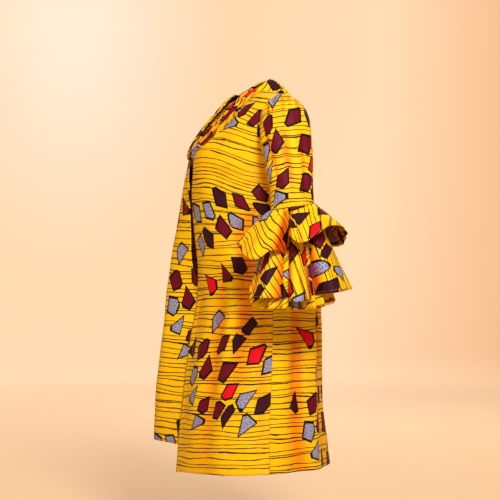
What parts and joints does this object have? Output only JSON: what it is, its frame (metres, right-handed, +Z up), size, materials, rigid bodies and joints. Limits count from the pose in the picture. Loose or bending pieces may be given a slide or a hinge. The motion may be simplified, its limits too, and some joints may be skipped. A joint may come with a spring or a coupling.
{
  "type": "long coat",
  "caption": "Long, open-fronted, collarless coat of crisp printed cotton as it hangs when worn, with a V neckline edged by folded bands and elbow sleeves that end in tiers of flounces.",
  "frame": {"origin": "midway between the shoulder seams' neck ends and 6 mm above them, where the shoulders of whatever wears the coat hold it", "axes": "+Z up, from the hem to the neck; -Y the way the coat faces; +X the coat's own left"},
  "size_m": [0.7844, 0.4291, 1.0122],
  "materials": {
    "printed_cotton": "crisp plain-weave cotton with a faint waxed sheen",
    "folded_band": "the same cotton, folded and rolled along the neck edge"
  },
  "bodies": {
    "root": {"back": "printed_cotton", "front_left": "printed_cotton", "front_right": "printed_cotton", "neckband_left": "folded_band", "neckband_right": "folded_band", "sleeve_left": "printed_cotton", "sleeve_right": "printed_cotton", "flounce_top_left": "printed_cotton", "flounce_top_right": "printed_cotton", "flounce_middle_left": "printed_cotton", "flounce_middle_right": "printed_cotton", "flounce_under_left": "printed_cotton", "flounce_under_right": "printed_cotton"}
  },
  "joints": []
}
